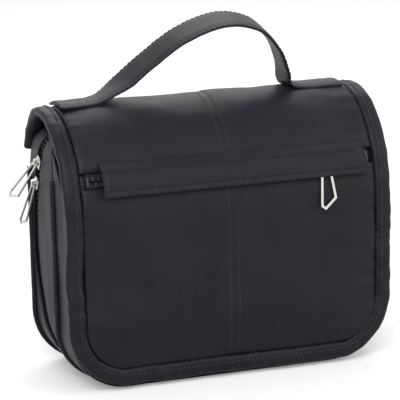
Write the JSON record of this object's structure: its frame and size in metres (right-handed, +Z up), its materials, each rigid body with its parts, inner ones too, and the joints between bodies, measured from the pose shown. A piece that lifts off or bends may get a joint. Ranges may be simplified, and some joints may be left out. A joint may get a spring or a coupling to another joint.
{
  "type": "toiletry bag",
  "caption": "Soft toiletry bag with a zipped main compartment, a front compartment, a padded flap with a zipped pocket and a strap handle.",
  "frame": {"origin": "on the floor, below the middle of the width and 10 mm in front of the flap's ridge", "axes": "+Z up, front faces -Y, +X to the right as seen from the front"},
  "size_m": [0.2664, 0.114, 0.2602],
  "materials": {
    "microfibre": "fine woven, soft satin sheen",
    "binding": "same cloth, puckered and stitched",
    "piping": "bias cut cloth over a cord",
    "lining": "thin smooth weave",
    "hook_and_loop": "matt pile",
    "zip_tape": "ribbed woven tape",
    "zip_teeth": "moulded",
    "board": "plain sheet",
    "nickel_metal": "polished nickel plate"
  },
  "bodies": {
    "bag": {"back_board": "board", "back_panel": "microfibre", "base_board": "board", "divider_panel": "lining", "flap_seam": "microfibre", "front_gusset": "microfibre", "front_panel": "microfibre", "front_piping": "piping", "front_pocket_gusset": "microfibre", "hook_strip": "hook_and_loop", "main_zip_stops": "nickel_metal", "main_zip_tape": "zip_tape", "main_zip_teeth": "zip_teeth", "rear_gusset": "microfibre", "rear_piping": "piping"},
    "flap": {"flap_band": "binding", "flap_panel_upper_left": "microfibre", "flap_panel_upper_right": "microfibre", "flap_panel_lower_left": "microfibre", "flap_panel_lower_right": "microfibre", "flap_lining": "lining", "flap_padding": "lining", "pocket_pouch": "lining", "pocket_zip_tape": "zip_tape", "pocket_zip_teeth": "zip_teeth", "pocket_zip_stops": "nickel_metal", "loop_strip": "hook_and_loop", "handle_tab_left": "microfibre", "handle_tab_right": "microfibre"},
    "handle": {"handle_strap": "microfibre", "handle_core": "microfibre"},
    "placket": {"placket": "microfibre"},
    "pocket_slider": {"pocket_slider": "nickel_metal"},
    "pocket_pull": {"pocket_pull": "nickel_metal"},
    "upper_slider": {"upper_slider": "nickel_metal"},
    "upper_pull": {"upper_pull": "nickel_metal"},
    "lower_slider": {"lower_slider": "nickel_metal"},
    "lower_pull": {"lower_pull": "nickel_metal"}
  },
  "joints": [
    {"name": "flap_hinge", "type": "hinge", "parent": "bag", "child": "flap", "pos_m": [0, 0.05031, 0.166], "axis": [-1, 0, 0], "range_deg": [0, 110]},
    {"name": "handle_fold", "type": "hinge", "parent": "flap", "child": "handle", "pos_m": [0, 0.009, 0.2027], "axis": [1, 0, 0], "range_deg": [-34, 16]},
    {"name": "placket_lift", "type": "hinge", "parent": "flap", "child": "placket", "pos_m": [0, -0.04717, 0.16644], "axis": [-1, 0, 0], "range_deg": [0, 75]},
    {"name": "pocket_zip_slide", "type": "slide", "parent": "flap", "child": "pocket_slider", "axis": [1, 0, 0], "range_m": [-0.168, 0.024]},
    {"name": "pocket_pull_swing", "type": "hinge", "parent": "pocket_slider", "child": "pocket_pull", "pos_m": [0.073, -0.05282, 0.15517], "axis": [-1, 0, 0], "range_deg": [0, 12]},
    {"name": "upper_zip_run", "type": "hinge", "parent": "bag", "child": "upper_slider", "pos_m": [0, -0.08256, 0.104], "axis": [1, 0, 0], "range_deg": [0, 2.3]},
    {"name": "upper_pull_swing", "type": "hinge", "parent": "upper_slider", "child": "upper_pull", "pos_m": [-0.12465, 0.01734, 0.158], "axis": [0, 0.8797, 0.4755], "range_deg": [-8, 135]},
    {"name": "lower_zip_run", "type": "hinge", "parent": "bag", "child": "lower_slider", "pos_m": [0, -0.08256, 0.104], "axis": [1, 0, 0], "range_deg": [-48, 0]},
    {"name": "lower_pull_swing", "type": "hinge", "parent": "lower_slider", "child": "lower_pull", "pos_m": [-0.12465, 0.0248, 0.141], "axis": [0, 0.9454, 0.3258], "range_deg": [-10, 15]}
  ]
}
